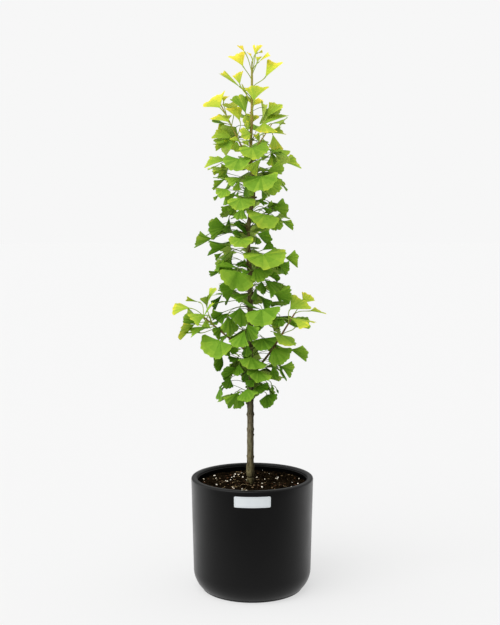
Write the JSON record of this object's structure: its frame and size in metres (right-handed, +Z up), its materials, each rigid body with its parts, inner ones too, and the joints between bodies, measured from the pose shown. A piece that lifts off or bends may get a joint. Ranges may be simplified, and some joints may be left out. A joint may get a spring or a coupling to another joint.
{
  "type": "potted ginkgo tree",
  "caption": "Young columnar ginkgo tree with fan-shaped green leaves on a slim trunk, standing in a round matt black pot with a blank white label plate.",
  "frame": {"origin": "centre of the pot's flat underside", "axes": "+Z up along the trunk; -Y is the front, where the label is; +X to the right seen from the front"},
  "size_m": [0.319, 0.2629, 1.149],
  "materials": {
    "pot": "matt black stoneware with a soft sheen",
    "soil": "moist potting mix with bark chips and perlite",
    "label": "blank white printed plate, satin",
    "bark": "grey-olive young bark with lenticels and leaf scars",
    "twig": "smooth tan to brown bark",
    "leaf": "satin leaf, mid green with a paler margin",
    "young_leaf": "satin young leaf, yellow-green"
  },
  "bodies": {
    "root": {"pot": "pot", "soil": "soil", "label": "label", "trunk": "bark", "bough_lower_left": "twig", "bough_lower_right": "twig", "bough_upper_left": "twig", "bough_upper_right": "twig", "foliage_spray_lower_left": "young_leaf", "foliage_spray_lower_right": "young_leaf", "foliage_spray_upper_left": "young_leaf", "foliage_spray_upper_right": "young_leaf", "foliage_whorl_1": "leaf", "foliage_whorl_2": "leaf", "foliage_whorl_3": "leaf", "foliage_whorl_4": "leaf", "foliage_whorl_5": "leaf", "foliage_whorl_6": "leaf", "foliage_whorl_7": "leaf", "foliage_whorl_8": "leaf", "foliage_whorl_9": "leaf", "foliage_whorl_10": "leaf", "foliage_leader_tuft": "young_leaf"}
  },
  "joints": []
}
